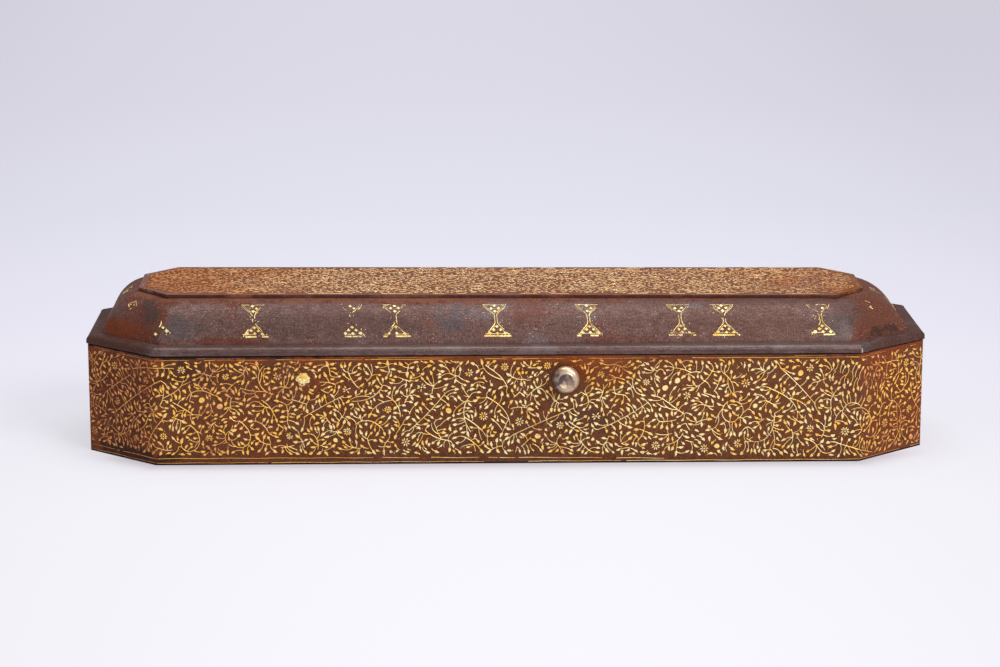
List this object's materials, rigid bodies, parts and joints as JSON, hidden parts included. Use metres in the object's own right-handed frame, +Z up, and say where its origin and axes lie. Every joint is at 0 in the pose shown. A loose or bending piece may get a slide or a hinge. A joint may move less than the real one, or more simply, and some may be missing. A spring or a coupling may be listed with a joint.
{
  "type": "pen box",
  "caption": "Long eight-sided steel pen box with upright walls and a hinged, domed lid under a flat top plate, opened by a push button on the front, with an ink bay inside.",
  "frame": {"origin": "centre of the flat underside, on the surface that the box stands on", "axes": "+X along the box to the right as seen from the front, -Y out of the front with the push button, +Z up"},
  "size_m": [0.301, 0.0994, 0.0577],
  "materials": {
    "blackened_steel": "dark brown patinated steel with patches of orange rust, fine cross-hatched key for the overlay",
    "rim_steel": "smooth dark grey-brown steel, worn pale along the edges",
    "gold_overlay": "worn gold overlay, satin",
    "bright_steel": "turned and rubbed bright, slightly yellowed",
    "spring_steel": "oiled grey steel",
    "old_brass": "dull brown brass with ink stains"
  },
  "bodies": {
    "case": {"body_wall": "blackened_steel", "base_plate": "blackened_steel", "latch_stud": "gold_overlay", "latch_spring": "spring_steel", "hinge_body_rivets": "spring_steel", "ink_partition": "blackened_steel", "inkwell_pot": "old_brass", "inkwell_cover_pin": "old_brass", "hinge_body_leaf_left": "spring_steel", "hinge_pin_left": "spring_steel", "hinge_body_leaf_right": "spring_steel", "hinge_pin_right": "spring_steel"},
    "lid": {"lid_dome": "blackened_steel", "lid_top_plate": "blackened_steel", "lid_keeper": "spring_steel", "hinge_lid_leaf_left": "spring_steel", "hinge_lid_leaf_right": "spring_steel", "hinge_lid_rivets": "spring_steel", "lid_rim_front": "rim_steel", "lid_rim_back": "rim_steel", "lid_rim_left": "rim_steel", "lid_rim_right": "rim_steel", "lid_rim_front_left": "rim_steel", "lid_rim_front_right": "rim_steel", "lid_rim_back_left": "rim_steel", "lid_rim_back_right": "rim_steel"},
    "button": {"button": "bright_steel", "button_collar": "bright_steel"},
    "ink_cover": {"inkwell_cover": "old_brass"}
  },
  "joints": [
    {"name": "lid_hinge", "type": "hinge", "parent": "case", "child": "lid", "pos_m": [0, 0.046, 0.039], "axis": [-1, 0, 0], "range_deg": [0, 108]},
    {"name": "button_press", "type": "slide", "parent": "case", "child": "button", "axis": [0, 1, 0], "range_m": [0, 0.002], "stiffness_N_per_m": 2000, "deforming": ["latch_spring"]},
    {"name": "ink_cover_hinge", "type": "hinge", "parent": "case", "child": "ink_cover", "pos_m": [0.1064, 0, 0.0229], "axis": [0, -1, 0], "range_deg": [0, 105]}
  ]
}
